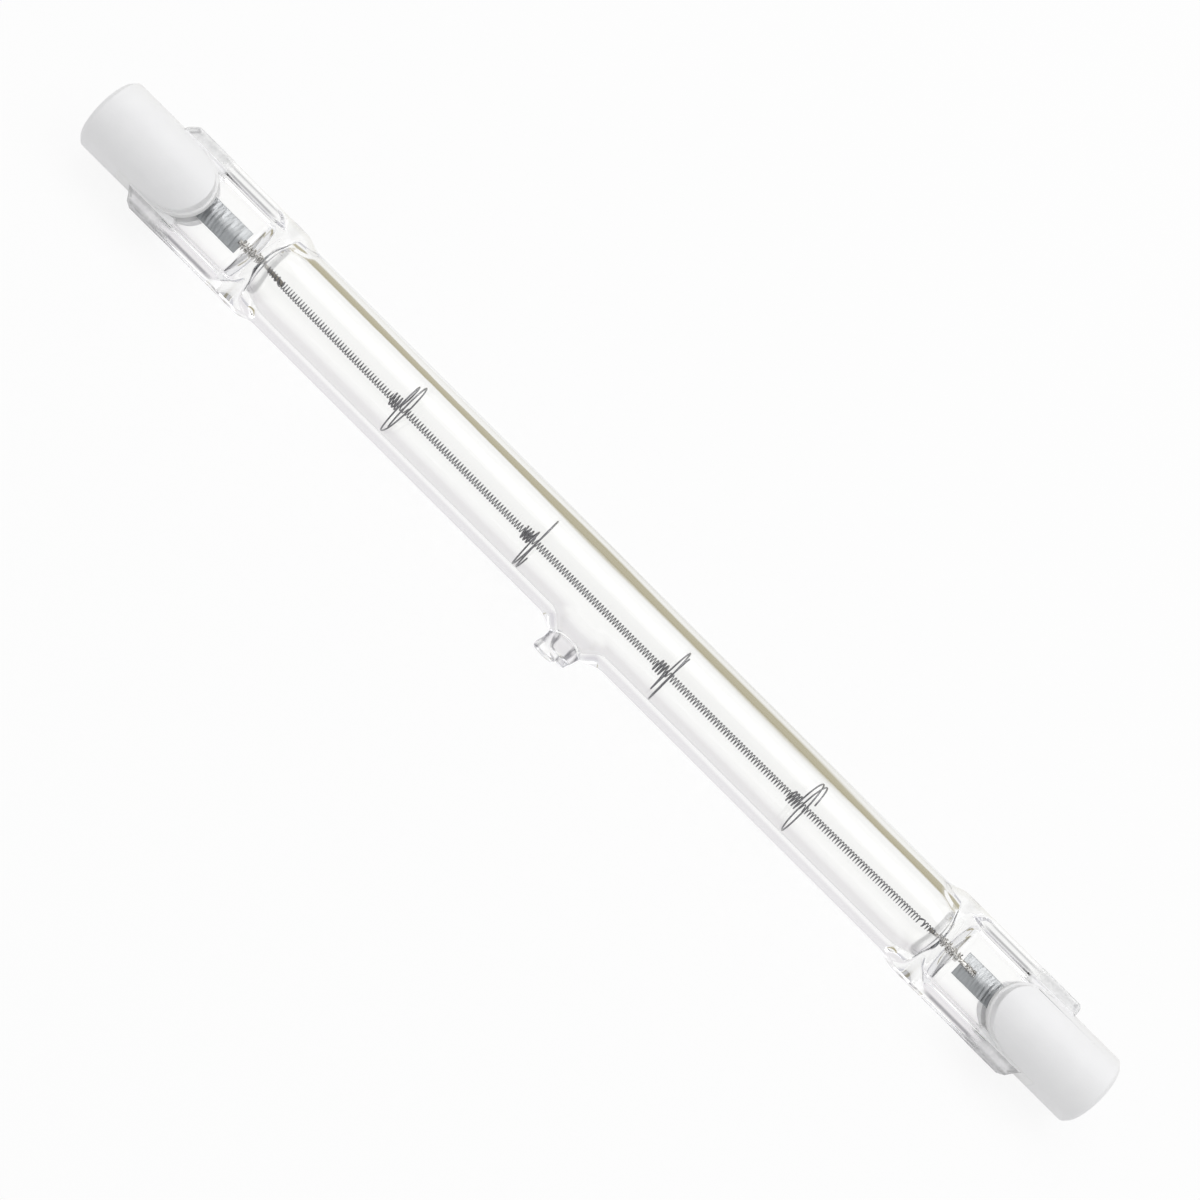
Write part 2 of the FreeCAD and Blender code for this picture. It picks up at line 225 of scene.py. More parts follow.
def glass_outside(x, angle):
    """Places on the outside of the glass, without the tip, for distances along it and angles.

    At mid-length a ring is the tube's circle. Through the flare it widens to a lower oval,
    the jaws then limit its height, and past the shoulder it is the seal's I-section with
    its outer corners cut off and its end rounded.
    """
    a = np.abs(x)
    turn = np.radians(angle)
    fold = folded(angle)
    sy, sz = np.sign(np.cos(turn).round(9)), np.sign(np.sin(turn).round(9))
    iy, iz = seal_section(fold)
    cut = np.zeros(np.broadcast(x, angle).shape)
    for (x_side, y_side), (run, depth) in corner_cuts.items():
        here = (np.sign(x) == x_side) & (sy == y_side)
        cut = np.where(here, depth * np.clip((a - seal_end + run) / run, 0, 1), cut)
    room = half_seal - cut_inner
    drawn_in = cut_inner + (iy - cut_inner) * (half_seal - cut - cut_inner) / room
    iy = np.where(iy > cut_inner, drawn_in, iy)
    wide = ease(a, flare_span)
    y = (1 - wide) * tube_radius * np.abs(np.cos(turn)) + wide * iy
    oval_z = oval_half_height * np.sqrt(1 - (iy / oval_half_width) ** 2)
    oval_z = oval_z * np.clip(fold / side_end, 0, 1)
    tube_z = (1 - wide) * tube_radius * np.abs(np.sin(turn)) + wide * oval_z
    pressed = (jaw_height(a) - half_rim) / (jaw_open - half_rim)
    jaw_z = jaw_height(a) - (half_rim - iz) * (1 - pressed)
    soft = jaw_softness * pressed * ease(a, (37, 38.9)) + 1e-6
    blend = np.maximum(soft - np.abs(tube_z - jaw_z), 0) / soft
    z = np.maximum(np.minimum(tube_z, jaw_z) - blend ** 2 * soft / 4, 0)
    ripple = np.sin(1.9 * x + 0.8 * iy * sy) * np.sin(1.3 * iy * sy + 0.7 * x + sz)
    past_shoulder, on_web = ease(a, (42, 43.5)), ease(fold, (slope_end, slope_end + 10))
    z = z - web_ripple * (0.5 + 0.5 * ripple) * past_shoulder * on_web
    past = np.maximum(a - seal_end + end_rounding, 0)
    inset = end_rounding - np.sqrt(np.maximum(end_rounding ** 2 - past ** 2, 0))
    return np.maximum(y - inset, 0) * sy, np.maximum(z - inset, 0) * sz


def outer_surface():
    """The outside of the glass, as rings of points from the left seal's end to the right's.

    The rings lie close together at the tip, the shoulders and the seals' ends.
    """
    far = np.linspace(6.5, 34, 8)
    tip = [np.linspace(-5, -2, 16), np.linspace(-1.94, 3.0, 88), np.linspace(3.1, 6, 16)]
    shoulder, seal = np.linspace(36.5, 42.4, 56), np.linspace(43, 51, 22)
    edge = seal_end - end_rounding * (1 - np.sin(np.linspace(0, np.pi / 2, 7)))
    end = np.concatenate([shoulder, seal, np.linspace(51.3, 52.8, 16), edge])
    x = np.concatenate([-end[::-1], -far[::-1], *tip, far, end])[:, None]
    y, z = glass_outside(x, ring_angles[None, :])
    tip_moved_x, tip_y = drawn_out(x, y, z, tube_radius, outer_hill, outer_drums)
    near_tip = np.abs(x - tip_x) < 5
    return np.where(near_tip, tip_moved_x, x), np.where(near_tip, tip_y, y), z


def cavity_surface():
    """The inside of the glass: the bore, the funnel into the tip and the dished ends.

    A dished end is a quarter ellipse turned about the axis.
    """
    far = np.linspace(5, 36, 10)
    tip = [np.linspace(-4, -1, 16), np.linspace(-0.94, 1.8, 50), np.linspace(1.9, 4.6, 16)]
    middle = np.concatenate([-far[::-1], *tip, far])
    turn_in = np.linspace(0, np.pi / 2, 16)[:-1]
    end_x = cavity_end - cavity_dish + cavity_dish * np.sin(turn_in)
    end_r = bore_radius * np.cos(turn_in)
    x = np.concatenate([-end_x[::-1], middle, end_x])[:, None]
    r = np.concatenate([end_r[::-1], np.full(len(middle), bore_radius), end_r])[:, None]
    turn = np.radians(ring_angles[None, :])
    y, z = r * np.cos(turn), r * np.sin(turn)
    tip_y = drawn_out(x, y, z, bore_radius, inner_hill, inner_drums)[1]
    y = np.where(np.abs(x - tip_x) < 3.6, tip_y, y)
    return np.broadcast_to(x, y.shape), y, z


def end_rungs():
    """Faces that close a ring: quads between its mirrored halves, a triangle at each side."""
    k = np.arange(1, columns // 2 - 1)
    middle = columns // 2
    rungs = np.stack([middle - k, middle - k - 1, middle + k + 1, middle + k], axis=-1)
    return [[middle, middle - 1, middle + 1]] + rungs.tolist() + [[1, 0, columns - 1]]


ring_angles = around_tube()
outside = outer_surface()
inside = cavity_surface()
outer_points = laid(*outside)
inner_points = laid(*inside)
poles = laid(np.array([-cavity_end, cavity_end]), np.zeros(2), np.zeros(2))
outer_rows = len(outer_points) // columns
inner_rows = len(inner_points) // columns
inner_first = len(outer_points)
last_outer = (outer_rows - 1) * columns
last_inner = inner_first + (inner_rows - 1) * columns
here = np.arange(columns)
after = (here + 1) % columns
pole = np.full(columns, inner_first + len(inner_points))
faces = grid_faces(outer_rows, columns).tolist()
faces += end_rungs()
faces += [[v + last_outer for v in reversed(f)] for f in end_rungs()]
faces += grid_faces(inner_rows, columns, inner_first)[:, ::-1].tolist()
faces += np.stack([inner_first + here, inner_first + after, pole], axis=-1).tolist()
faces += np.stack([last_inner + after, last_inner + here, pole + 1], axis=-1).tolist()
points = np.concatenate([outer_points, inner_points, poles])
envelope = piece("quartz_envelope", points, faces, ["envelope"])

# Where the surface turns sharply, glass gathers the dark of the room into a grey line, which is
# painted here into the glass's colour as a painted reflection: along the slopes between the rims
# and the web, round the rim of each dished end, and on the upright walls of the tip. The lines'
# strengths are given by folded angle and by radius.
fold = folded(ring_angles)
far_line = np.interp(
    fold, [24, 26.5, 29, 33, 36, 38, 39.6, 43.2, 45, 46.6],
    [0, 0.9, 0.1, 0.1, 1, 0.8, 0.2, 0.2, 0.7, 0])
near_line = np.interp(
    fold, [18, 20, 23, 25, 36.8, 38, 39.6, 43.2, 45, 46.6],
    [0, 0.9, 0.9, 0, 0, 0.4, 0.1, 0.1, 0.5, 0])
upper_line = np.where(ring_angles < 90, far_line, near_line) * (ring_angles < 180)
outer_a = np.abs(outer_points[:, 0].reshape(outer_rows, columns)) / MM
off_shoulder, off_coat = ease(outer_a, (41.8, 42.8)), 1 - ease(outer_a, (47.2, 48.6))
slope_line = upper_line[None, :] * off_shoulder * off_coat
inner_x = np.abs(inner_points[:, 0]) / MM
inner_r = np.hypot(inner_points[:, 1], inner_points[:, 2]) / MM
dish_line = np.interp(inner_r, [1.9, 2.5, 2.9, 3.04], [0, 0.75, 0.75, 0])
dish_line = dish_line * (inner_x > cavity_end - cavity_dish)


def wall_line(surface, radius, hill, drums):
    """The painted grey line of the drums' walls, only where they face along the lamp, seen
    edge-on.
    """
    x, y, z = surface
    bare = np.sqrt(np.maximum(radius ** 2 - z ** 2, 0))
    raised = ease(-y - bare, (hill[0] * 0.7, hill[0] * 1.1))
    line = np.zeros(y.shape)
    for centre, half_length, half_depth, _ in drums:
        off = (x - centre) / half_length
        wall = np.interp(np.hypot(off, z / half_depth), [0.84, 0.94, 1.06, 1.16], [0, 1, 1, 0])
        line = np.maximum(line, wall * ease(np.abs(off), (0.8, 0.95)))
    return (line * raised * (y < 0)).ravel()


outer_line = slope_line.ravel() + wall_line(outside, tube_radius, outer_hill, outer_drums)
inner_line = dish_line + wall_line(inside, bore_radius, inner_hill, inner_drums)
note(envelope, "painted_edge_line", np.concatenate([outer_line, inner_line, np.zeros(len(poles))]))

# The soft slopes, which are the shoulders and the hill under the tip, gather hardly any, and
# neither do the seals' ends under their milky coat, so the grey painted where glass is seen
# edge-on is kept off them.
_, out_y, out_z = outside
risen = -out_y - np.sqrt(np.maximum(tube_radius ** 2 - out_z ** 2, 0))
off_hill = ease(risen, (outer_hill[0], outer_hill[0] + 0.2))
on_hill = (out_y < 0) * ease(risen, (0.01, 0.05)) * (1 - off_hill)
on_shoulder = ease(outer_a, (38.0, 38.8)) * (1 - ease(outer_a, (42.2, 43.0)))
under_coat = ease(outer_a, (47.6, 49.0))
soft = (on_hill + on_shoulder + under_coat).ravel()
note(envelope, "soft_slope", np.concatenate([soft, np.zeros(len(inner_points) + len(poles))]))


def srgb(code):
    """A hex colour as the eye reads it, turned to linear light."""
    v = np.array([int(code[i:i + 2], 16) / 255 for i in (1, 3, 5)])
    linear = np.where(v <= 0.04045, v / 12.92, ((v + 0.055) / 1.055) ** 2.4)
    return (*linear.tolist(), 1.0)


def add(tree, kind, values=None, links=None, **settings):
    """Adds a node of a kind, sets its properties and socket values, and links its inputs.

    A Mix node's factor is socket 0, and its two colours are sockets 6 and 7. A Map Range
    node turns socket 0 from the span of sockets 1 and 2 to that of sockets 3 and 4.
    """
    made = tree.nodes.new(kind)
    for name, value in settings.items():
        setattr(made, name, value)
    for socket, value in (values or {}).items():
        made.inputs[socket].default_value = value
    for socket, source in (links or {}).items():
        tree.links.new(source, made.inputs[socket])
    return made


def new_material(name):
    """An empty material made of nodes, and its node tree."""
    made = bpy.data.materials.new(name)
    made.use_nodes = True
    made.node_tree.nodes.clear()
    return made, made.node_tree


# Clear fused quartz: colourless and glossy, with the slow waviness that drawing and
# pressing leave. Its colour is painted grey along the lines above and where it is seen edge-on,
# as painted reflections. Lamps shine through it, so that it throws only the shadow of its edges,
# and light that has been turned more than three times inside the glass leaves it straight,
# greyed a little as painted shade in place of the further turns.
wave_size = 2.2
most_turns = 3.5
quartz, tree = new_material("clear_fused_quartz")
place = add(tree, "ShaderNodeTexCoord")
waves = add(
    tree, "ShaderNodeTexNoise",
    {"Scale": 1 / (wave_size * MM), "Detail": 2.0, "Roughness": 0.4},
    {"Vector": place.outputs["Object"]})
wavy = add(
    tree, "ShaderNodeBump", {"Strength": 0.35, "Distance": 0.02 * MM},
    {"Height": waves.outputs["Fac"]})
# Painted reflection: the painted_edge_line grey darkens the glass's colour towards #68686C.
edges = add(tree, "ShaderNodeAttribute", attribute_name="painted_edge_line")
# Where the glass is seen edge-on its colour is painted darker too, a painted reflection of the
# dark of the room, less on the soft slopes.
slant = add(tree, "ShaderNodeLayerWeight", {"Blend": 0.5})
rim = add(
    tree, "ShaderNodeMapRange", {1: 0.72, 2: 0.98, 3: 0.0, 4: 0.58}, {0: slant.outputs["Facing"]},
    interpolation_type="SMOOTHSTEP")
slope = add(tree, "ShaderNodeAttribute", attribute_name="soft_slope")
steep = add(
    tree, "ShaderNodeMath", {0: 1.0}, {1: slope.outputs["Fac"]},
    operation="SUBTRACT", use_clamp=True)
rim = add(
    tree, "ShaderNodeMath", links={0: rim.outputs[0], 1: steep.outputs[0]}, operation="MULTIPLY")
edge = add(
    tree, "ShaderNodeMath", links={0: edges.outputs["Fac"], 1: rim.outputs[0]},
    operation="MAXIMUM")
shade = add(
    tree, "ShaderNodeMix", {6: srgb("#FDFDFC"), 7: srgb("#68686C")}, {0: edge.outputs[0]},
    data_type="RGBA")
glass = add(
    tree, "ShaderNodeBsdfPrincipled",
    {"Roughness": 0.0, "IOR": quartz_index, "Transmission Weight": 1.0},
    {"Base Color": shade.outputs[2], "Normal": wavy.outputs["Normal"]})
path = add(tree, "ShaderNodeLightPath")
# The straight way out is greyed to #EEEEF0, a painted shade for the turns it skips.
passed = add(
    tree, "ShaderNodeMix", {6: srgb("#EEEEF0"), 7: srgb("#FAFAFA")},
    {0: path.outputs["Is Shadow Ray"]}, data_type="RGBA")
clear = add(tree, "ShaderNodeBsdfTransparent", links={"Color": passed.outputs[2]})
often_turned = add(
    tree, "ShaderNodeMath", {1: most_turns}, {0: path.outputs["Ray Depth"]},
    operation="GREATER_THAN")
let_out = add(
    tree, "ShaderNodeMath", links={0: path.outputs["Is Shadow Ray"], 1: often_turned.outputs[0]},
    operation="MAXIMUM")
through = add(
    tree, "ShaderNodeMixShader",
    links={0: let_out.outputs[0], 1: glass.outputs["BSDF"], 2: clear.outputs["BSDF"]})
add(tree, "ShaderNodeOutputMaterial", links={"Surface": through.outputs["Shader"]})
envelope.data.materials.append(quartz)

# Filament. Drawn tungsten wire of 0.12 mm, close wound on a mandrel into one long coil
# and hung between the two leads, where its own weight bows it a little towards the tip.
coil_end = 39.5
coil_radius = 0.31
bow = 0.33
lead_start = 37.9
turn_steps = 16

# The real pitch is 0.243 mm. So that single turns show, they are drawn coarser, at 0.3 mm,
# with wire of 0.1 mm.
wire_radius = 0.05
pitch = 0.3


def bow_at(x):
    """How far the hanging coil has bowed, a parabola between the leads."""
    return -bow * np.clip(1 - (x / lead_start) ** 2, 0, 1)


def wire(x, y, z, angle, radius, sides):
    """A round wire along a path: a circle carried along it, with flat ends.

    The angle turns the circle's first point outwards, from +Y towards +Z.
    """
    centre = np.stack([x, y, z], axis=-1)
    along = np.gradient(centre, axis=0)
    along /= np.linalg.norm(along, axis=1, keepdims=True)
    outward = np.stack([np.zeros_like(x), np.cos(angle), np.sin(angle)], axis=-1)
    across = np.cross(along, outward)
    across /= np.linalg.norm(across, axis=1, keepdims=True)
    outward = np.cross(across, along)
    t = 2 * np.pi * np.arange(sides) / sides
    ring = np.cos(t)[:, None] * outward[:, None, :] + np.sin(t)[:, None] * across[:, None, :]
    points = centre[:, None, :] + radius * ring
    last = (len(x) - 1) * sides
    faces = grid_faces(len(x), sides).tolist()
    faces += [list(range(sides))[::-1], list(range(last, last + sides))]
    return laid(points[..., 0], points[..., 1], points[..., 2]), faces


turns = 2 * coil_end / pitch
t = np.linspace(0, turns, int(turns * turn_steps) + 1)
x = -coil_end + pitch * t
angle = 2 * np.pi * t
y, z = bow_at(x) + coil_radius * np.cos(angle), coil_radius * np.sin(angle)
points, faces = wire(x, y, z, angle, wire_radius, 6)
filament = piece("tungsten_coil", points, faces, ["filament"])

# Drawn tungsten wire: a dark grey metal with a satin sheen. The die leaves lines far finer
# than shows, which are drawn here as a mottle of 0.15 mm.
mottle_size = 0.15
tungsten, tree = new_material("drawn_tungsten_wire")
place = add(tree, "ShaderNodeTexCoord")
grain = add(
    tree, "ShaderNodeTexNoise", {"Scale": 1 / (mottle_size * MM), "Detail": 3.0},
    {"Vector": place.outputs["Object"]})
shade = add(
    tree, "ShaderNodeMix", {6: srgb("#4C4C50"), 7: srgb("#77777B")}, {0: grain.outputs["Fac"]},
    data_type="RGBA")
metal = add(
    tree, "ShaderNodeBsdfPrincipled", {"Metallic": 1.0, "Roughness": 0.32},
    {"Base Color": shade.outputs[2]})
add(tree, "ShaderNodeOutputMaterial", links={"Surface": metal.outputs["BSDF"]})
filament.data.materials.append(tungsten)

# Filament supports. Each is one length of tungsten wire, wound three times on the coil to
# grip it, led outwards in half a turn and bent into a ring that stands just inside the bore.
support_count = 4
support_radius = 0.075
ring_gap = 0.35
hub_turns = 3
hub_pitch = 0.31
hub_radius = 0.58
arm_turns = 0.5
arm_advance = 0.35
ring_turns = 1.2
ring_advance = 0.4
ring_radius = bore_radius - ring_gap - 0.1
spacing = 2 * bore_end / (support_count + 1)

for number in range(support_count):
    middle = spacing * (number - (support_count - 1) / 2)
    ring_start = np.radians(70 + 100 * number)
    t = np.linspace(0, hub_turns + arm_turns + ring_turns, 260)
    arm = ease(t, (hub_turns, hub_turns + arm_turns))
    late = np.clip(t - hub_turns - arm_turns, 0, None)
    length = hub_turns * hub_pitch + arm_advance + ring_turns * ring_advance
    x = middle - length / 2 + np.minimum(t, hub_turns) * hub_pitch
    x = x + arm_advance * np.clip((t - hub_turns) / arm_turns, 0, 1) + ring_advance * late
    angle = ring_start + 2 * np.pi * (t - hub_turns - arm_turns)
    r = hub_radius + (ring_radius - hub_radius) * arm
    y, z = bow_at(middle) + r * np.cos(angle), r * np.sin(angle)
    points, faces = wire(x, y, z, angle, support_radius, 12)
    name = f"support_wire_{number + 1}"
    support = piece(name, points, faces, [f"filament_support_{number + 1}"])
    support.data.materials.append(tungsten)

# Inner leads. The straight rod that fills each end of the coil and runs into the seal, with
# the last uneven turns of the coil's wire wound on it inside the glass. On the right a few
# more turns clasp the rod's end to the foil.
inner_lead_radius = 0.21
foil_start = 42.8
winding_turns = 9
winding_pitch = 0.27
winding_wire = 0.07
clasp_start = 43.6
clasp_turns = 4.5
clasp_pitch = 0.25
clasp_radius = 0.26
clasp_wire = 0.055

# Cleaned tungsten rod: etched bright before it was sealed in, so that it shows pale between
# dark specks of 0.15 mm, and darker where it lies inside the coil.
bright_tungsten, tree = new_material("cleaned_tungsten_rod")
place = add(tree, "ShaderNodeTexCoord")
grain = add(
    tree, "ShaderNodeTexNoise", {"Scale": 1 / (mottle_size * MM), "Detail": 3.0},
    {"Vector": place.outputs["Object"]})
specks = add(
    tree, "ShaderNodeMapRange", {1: 0.43, 2: 0.53, 3: 0.0, 4: 1.0}, {0: grain.outputs["Fac"]})
shade = add(
    tree, "ShaderNodeMix", {6: srgb("#6F6A64"), 7: srgb("#F2F1EF")}, {0: specks.outputs[0]},
    data_type="RGBA")
spot = add(tree, "ShaderNodeSeparateXYZ", links={0: place.outputs["Object"]})
from_middle = add(tree, "ShaderNodeMath", links={0: spot.outputs["X"]}, operation="ABSOLUTE")
in_coil = add(
    tree, "ShaderNodeMapRange", {1: 39.2 * MM, 2: 40.0 * MM, 3: 1.0, 4: 0.0},
    {0: from_middle.outputs[0]})
shade = add(
    tree, "ShaderNodeMix", {7: srgb("#6E6960")}, {0: in_coil.outputs[0], 6: shade.outputs[2]},
    data_type="RGBA")
metal = add(
    tree, "ShaderNodeBsdfPrincipled", {"Metallic": 1.0, "Roughness": 0.35},
    {"Base Color": shade.outputs[2]})
add(tree, "ShaderNodeOutputMaterial", links={"Surface": metal.outputs["BSDF"]})


def joined(*wires):
    """The points and faces of several wires, put together as those of one mesh."""
    points, faces = np.zeros((0, 3)), []
    for more_points, more_faces in wires:
        faces += [[v + len(points) for v in f] for f in more_faces]
        points = np.concatenate([points, more_points])
    return points, faces


for side, name, rod_start, weld in (
        (-1, "left", lead_start, 0.3), (1, "right", lead_start + 1.0, 1.8)):
    x = side * np.linspace(rod_start, foil_start + weld, 30)
    zero = np.zeros_like(x)
    wires = [wire(x, zero, zero, zero, inner_lead_radius, 16)]
    t = np.linspace(0, winding_turns, winding_turns * 20)
    angle = 2 * np.pi * t
    uneven = 0.09 * np.sin(1.9 * t + side)
    x = side * (cavity_end + 0.1 + winding_pitch * t + uneven)
    r = 0.36 + 0.09 * np.sin(1.3 * t + 2 * side) ** 2
    wires.append(wire(x, r * np.cos(angle), r * np.sin(angle), angle, winding_wire, 8))
    if side > 0:
        t = np.linspace(0, clasp_turns, 90)
        angle = 2 * np.pi * t
        x = clasp_start + clasp_pitch * t + 0.05 * np.sin(2.6 * t)
        y, z = clasp_radius * np.cos(angle), np.maximum(clasp_radius * np.sin(angle), -0.1)
        wires.append(wire(x, y, z, angle, clasp_wire, 8))
    points, faces = joined(*wires)
    lead = piece(f"coil_end_{name}", points, faces, [f"inner_lead_{name}"])
    lead.data.materials.append(bright_tungsten)

# Foils. Molybdenum rolled to a few hundredths of a millimetre, the only part of the lead
# thin enough to seal in quartz, creased along its middle and rippled by the press. The
# rods from the foils out to the contacts are of the same metal.
foil_half = 1.2
foil_end = 50.6
foil_top = -0.12
foil_crease = 0.12
crease_half = 0.25
foil_thickness = 0.04
foil_strips = 24

# Rolled molybdenum: a satin grey metal with fine lines along the rolling. They are a few
# hundredths of a millimetre apart, and are drawn at 0.12 mm, and 1.5 mm long, so that they
# show. The half below the crease is turned from the light, and its shade is painted in as a
# greyer colour.
molybdenum, tree = new_material("rolled_molybdenum_foil")
place = add(tree, "ShaderNodeTexCoord")
stretched = add(
    tree, "ShaderNodeMapping", {"Scale": (1 / (0.12 * MM), 1 / (1.5 * MM), 1 / (1.5 * MM))},
    {"Vector": place.outputs["Object"]})
lines = add(
    tree, "ShaderNodeTexNoise", {"Scale": 1.0, "Detail": 4.0},
    {"Vector": stretched.outputs["Vector"]})
shade = add(
    tree, "ShaderNodeMix", {6: srgb("#8E9194"), 7: srgb("#D2D4D6")}, {0: lines.outputs["Fac"]},
    data_type="RGBA")
# Painted shade: the half below the crease is painted part way towards #7F8387.
half = add(tree, "ShaderNodeAttribute", attribute_name="shaded_lower_half")
amount = add(
    tree, "ShaderNodeMath", {1: 0.55}, {0: half.outputs["Fac"]}, operation="MULTIPLY")
with_painted_shade = add(
    tree, "ShaderNodeMix", {7: srgb("#7F8387")}, {0: amount.outputs[0], 6: shade.outputs[2]},
    data_type="RGBA")
bump = add(
    tree, "ShaderNodeBump", {"Strength": 0.5, "Distance": 0.02 * MM},
    {"Height": lines.outputs["Fac"]})
metal = add(
    tree, "ShaderNodeBsdfPrincipled", {"Metallic": 1.0, "Roughness": 0.38},
    {"Base Color": with_painted_shade.outputs[2], "Normal": bump.outputs["Normal"]})
add(tree, "ShaderNodeOutputMaterial", links={"Surface": metal.outputs["BSDF"]})


def refinished(node, material):
    """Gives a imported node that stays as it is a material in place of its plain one."""
    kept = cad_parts[node]
    kept.data.materials.clear()
    kept.data.materials.append(material)


for side, name, inner_end, aside in ((-1, "left", 42.65, 0.12), (1, "right", 43.05, -0.08)):
    u = np.linspace(0, 1, 90)[:, None]
    v = np.linspace(-1, 1, foil_strips + 1)[None, :]
    x = side * (inner_end + (foil_end - inner_end) * u)
    y = aside + foil_half * v
    slow = 0.018 * np.sin(9 * x + 2.5 * v) * np.sin(3.1 * x + 1.7)
    ripple = slow + 0.012 * np.sin(17 * x - 4 * v * v)
    folding = np.clip((np.abs(v) * foil_half - crease_half) / (foil_half - crease_half), 0, 1)
    top = foil_top - foil_crease * folding + ripple
    x, y, top, across = np.broadcast_arrays(x, y, top, v)
    ring_x = np.concatenate([x, x[:, ::-1]], axis=1)
    ring_y = np.concatenate([y, y[:, ::-1]], axis=1)
    ring_z = np.concatenate([top, top[:, ::-1] - foil_thickness], axis=1)
    ring_v = np.concatenate([across, across[:, ::-1]], axis=1)
    around = ring_x.shape[1]
    last = (len(u) - 1) * around
    k = np.arange(foil_strips)
    j = around - 1 - k
    inner_cap = np.stack([j, j - 1, k + 1, k], axis=-1)
    outer_cap = np.stack([last + k, last + k + 1, last + j - 1, last + j], axis=-1)
    caps = np.stack([inner_cap, outer_cap], axis=1).reshape(-1, 4)
    faces = np.concatenate([grid_faces(len(u), around), caps])
    if side > 0:
        faces = faces[:, ::-1]
    points = laid(ring_x, ring_y, ring_z)
    foil = piece(
        f"sealing_foil_{name}", points, faces.tolist(), [f"foil_{name}"])
    note(foil, "shaded_lower_half", ease(-ring_v, (-0.05, 0.15)))
    foil.data.materials.append(molybdenum)
    refinished(f"outer_lead_{name}", molybdenum)

# Ceramic caps. White steatite pressed and fired in one piece: a round end with a recess for
# the contact, and two cheeks that clasp the flat seal. Its edges are rounded in the die.
cap_edge = 0.1

# Fired white steatite: unglazed and matte, so that it shows no gloss, with a grain of
# 0.25 mm to the touch and hardly any cloudiness in its white.
ceramic, tree = new_material("fired_white_steatite")
place = add(tree, "ShaderNodeTexCoord")
grain = add(
    tree, "ShaderNodeTexNoise", {"Scale": 1 / (0.25 * MM), "Detail": 4.0},
    {"Vector": place.outputs["Object"]})
clouds = add(
    tree, "ShaderNodeTexNoise", {"Scale": 1 / (2.5 * MM), "Detail": 2.0},
    {"Vector": place.outputs["Object"]})
shade = add(
    tree, "ShaderNodeMix", {6: srgb("#F1F1F2"), 7: srgb("#F8F8F9")}, {0: clouds.outputs["Fac"]},
    data_type="RGBA")
bump = add(
    tree, "ShaderNodeBump", {"Strength": 0.25, "Distance": 0.03 * MM},
    {"Height": grain.outputs["Fac"]})
body = add(
    tree, "ShaderNodeBsdfPrincipled", {"Roughness": 0.55, "IOR": 1.55},
    {"Base Color": shade.outputs[2], "Normal": bump.outputs["Normal"]})
add(tree, "ShaderNodeOutputMaterial", links={"Surface": body.outputs["BSDF"]})


def softened(node, name, width):
    """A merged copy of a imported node, with its edges rounded by a bevel of the width.

    Only turns of more than sharp_turn are edges. The faces' own sizes weight the shading,
    which keeps the flats even beside the narrow rounded strips.
    """
    sharp_turn = np.radians(28)
    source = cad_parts[node]
    mesh = source.data.copy()
    made = bpy.data.objects.new(name, mesh)
    mesh.name = name
    mesh.materials.clear()
    bpy.context.scene.collection.objects.link(made)
    bm = bmesh.new()
    bm.from_mesh(mesh)
    bmesh.ops.remove_doubles(bm, verts=bm.verts, dist=0.002 * MM)
    bmesh.ops.dissolve_limit(bm, angle_limit=np.radians(1), verts=bm.verts, edges=bm.edges)
    bm.to_mesh(mesh)
    bm.free()
    mesh.shade_smooth()
    mesh.set_sharp_from_angle(angle=sharp_turn)
    bevel = made.modifiers.new("rounded_edges", "BEVEL")
    bevel.width = width * MM
    bevel.segments = 3
    bevel.limit_method = "ANGLE"
    bevel.angle_limit = sharp_turn
    even = made.modifiers.new("even_shading", "WEIGHTED_NORMAL")
    even.keep_sharp = True
    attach(made, "root")
    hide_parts(node)
    return made


for name in ("left", "right"):
    cap = softened(f"ceramic_cap_{name}", f"steatite_cap_{name}", cap_edge)
    cap.data.materials.append(ceramic)

# Contacts. Turned rivets with a nickel finish, let into the floors of the caps' recesses,
# where the holder's springs press on them. The plating is bright, with rub marks drawn
# 0.2 mm wide so that they show.
nickel, tree = new_material("nickel_plated_rivet")
place = add(tree, "ShaderNodeTexCoord")
rub_marks = add(
    tree, "ShaderNodeTexNoise", {"Scale": 1 / (0.2 * MM), "Detail": 3.0},
    {"Vector": place.outputs["Object"]})
bump = add(
    tree, "ShaderNodeBump", {"Strength": 0.2, "Distance": 0.01 * MM},
    {"Height": rub_marks.outputs["Fac"]})
metal = add(
    tree, "ShaderNodeBsdfPrincipled",
    {"Base Color": srgb("#C9C5BC"), "Metallic": 1.0, "Roughness": 0.3},
    {"Normal": bump.outputs["Normal"]})
add(tree, "ShaderNodeOutputMaterial", links={"Surface": metal.outputs["BSDF"]})
for name in ("left", "right"):
    refinished(f"contact_{name}", nickel)

# Cement. A white ceramic paste pushed into the caps round the seals and baked hard. It dries
# dull and chalky, with lumps of about 0.6 mm that catch the light.
cement_edge = 0.05
paste, tree = new_material("baked_ceramic_cement")
place = add(tree, "ShaderNodeTexCoord")
lumps = add(
    tree, "ShaderNodeTexNoise", {"Scale": 1 / (0.6 * MM), "Detail": 5.0},
    {"Vector": place.outputs["Object"]})
shade = add(
    tree, "ShaderNodeMix", {6: srgb("#F0F0F0"), 7: srgb("#FCFCFC")}, {0: lumps.outputs["Fac"]},
    data_type="RGBA")
bump = add(
    tree, "ShaderNodeBump", {"Strength": 0.6, "Distance": 0.12 * MM},
    {"Height": lumps.outputs["Fac"]})
body = add(
    tree, "ShaderNodeBsdfPrincipled", {"Roughness": 0.75},
    {"Base Color": shade.outputs[2], "Normal": bump.outputs["Normal"]})
add(tree, "ShaderNodeOutputMaterial", links={"Surface": body.outputs["BSDF"]})
for name in ("left", "right"):
    cement = softened(f"cap_cement_{name}", f"cement_fill_{name}", cement_edge)
    cement.data.materials.append(paste)

